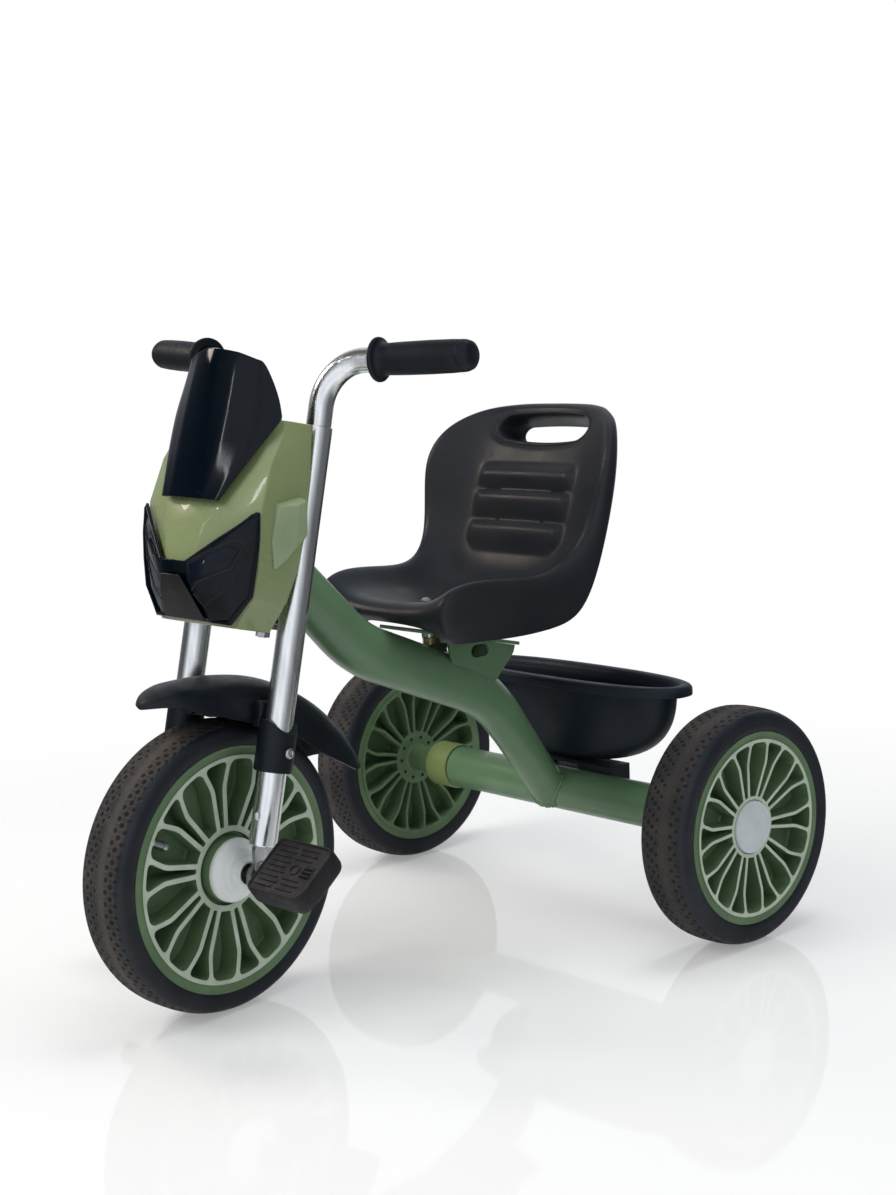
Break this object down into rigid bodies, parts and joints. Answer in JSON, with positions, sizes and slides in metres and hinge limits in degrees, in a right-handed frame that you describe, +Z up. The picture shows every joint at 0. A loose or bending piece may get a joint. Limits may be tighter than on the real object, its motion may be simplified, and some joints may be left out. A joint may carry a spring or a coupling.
{
  "type": "child's tricycle",
  "caption": "Small child's tricycle with a pedalled front wheel, steering fork with handlebar and fairing, moulded bucket seat on a bent tube, and a rear basket over the axle.",
  "frame": {"origin": "centre of the bounding box, on the floor the three tyres stand on", "axes": "+Z up, the front of the tricycle towards -Y, +X to the rider's left"},
  "size_m": [0.467, 0.601, 0.5232],
  "materials": {
    "tyre_rubber": "matt dark grey, pebbled tread with small round dimples",
    "grip_rubber": "satin black",
    "rim_green": "satin green moulding with paler spoke faces",
    "frame_green": "smooth green enamel",
    "fairing_green": "glossy yellow green",
    "bush_green": "satin yellow green",
    "hub_white": "satin off-white",
    "cap_grey": "satin light grey",
    "seat_black": "satin black, fine grain",
    "pedal_black": "satin black",
    "guard_black": "satin black",
    "screen_black": "glossy blue black",
    "nose_brown": "glossy brown black",
    "leg_steel": "bright plated steel",
    "plain_steel": "brushed plated steel",
    "yellow_zinc": "yellow plated"
  },
  "bodies": {
    "frame": {"main_tube": "frame_green", "head_tube": "frame_green", "lower_head_bush": "pedal_black", "upper_head_bush": "pedal_black", "rear_axle_tube": "frame_green", "left_axle_tube_bush": "bush_green", "right_axle_tube_bush": "bush_green", "rear_axle": "plain_steel", "rear_left_axle_nut": "plain_steel", "rear_right_axle_nut": "plain_steel", "seat_plate": "frame_green", "seat_bracket": "frame_green", "seat": "seat_black", "seat_bolt_front": "plain_steel", "seat_bolt_rear": "plain_steel", "seat_nut_front": "yellow_zinc", "seat_nut_rear": "yellow_zinc", "basket": "seat_black", "basket_bracket": "seat_black"},
    "steering": {"left_fork_leg": "leg_steel", "right_fork_leg": "leg_steel", "left_leg_rivet": "plain_steel", "right_leg_rivet": "plain_steel", "left_dropout": "plain_steel", "right_dropout": "plain_steel", "left_axle_bush": "pedal_black", "right_axle_bush": "pedal_black", "left_handlebar": "leg_steel", "right_handlebar": "leg_steel", "left_grip": "grip_rubber", "right_grip": "grip_rubber", "lower_crown": "plain_steel", "upper_crown": "plain_steel", "steering_stem": "plain_steel", "stem_nut": "plain_steel", "fairing_shell": "fairing_green", "windscreen": "screen_black", "headlight_panel": "screen_black", "nose_panel": "nose_brown", "mudguard": "guard_black", "left_guard_screw": "plain_steel", "right_guard_screw": "plain_steel"},
    "front_wheel": {"front_tyre": "tyre_rubber", "front_rim": "rim_green", "left_hub_cup": "hub_white", "right_hub_cup": "hub_white", "crank_axle": "plain_steel", "front_valve": "yellow_zinc"},
    "left_pedal": {"left_pedal": "pedal_black"},
    "right_pedal": {"right_pedal": "pedal_black"},
    "rear_left_wheel": {"rear_left_tyre": "tyre_rubber", "rear_left_rim": "rim_green", "rear_left_hub_cap": "cap_grey"},
    "rear_right_wheel": {"rear_right_tyre": "tyre_rubber", "rear_right_rim": "rim_green", "rear_right_hub_cap": "cap_grey"}
  },
  "joints": [
    {"name": "steering_turn", "type": "hinge", "parent": "frame", "child": "steering", "pos_m": [0, -0.16703, 0.11053], "axis": [0, 0.2351, 0.972], "range_deg": [-51, 39]},
    {"name": "front_wheel_spin", "type": "hinge", "parent": "steering", "child": "front_wheel", "pos_m": [0.00199, -0.1854, 0.11498], "axis": [0.9945, 0.1016, -0.0246], "continuous": true},
    {"name": "left_pedal_spin", "type": "hinge", "parent": "front_wheel", "child": "left_pedal", "pos_m": [0.13717, -0.20899, 0.13705], "axis": [0.9945, 0.1016, -0.0246], "continuous": true},
    {"name": "right_pedal_spin", "type": "hinge", "parent": "front_wheel", "child": "right_pedal", "pos_m": [-0.13319, -0.16181, 0.0929], "axis": [0.9945, 0.1016, -0.0246], "continuous": true},
    {"name": "rear_left_wheel_spin", "type": "hinge", "parent": "frame", "child": "rear_left_wheel", "pos_m": [0.21025, 0.2005, 0.1], "axis": [1, 0, 0], "continuous": true},
    {"name": "rear_right_wheel_spin", "type": "hinge", "parent": "frame", "child": "rear_right_wheel", "pos_m": [-0.21025, 0.2005, 0.1], "axis": [1, 0, 0], "continuous": true}
  ]
}
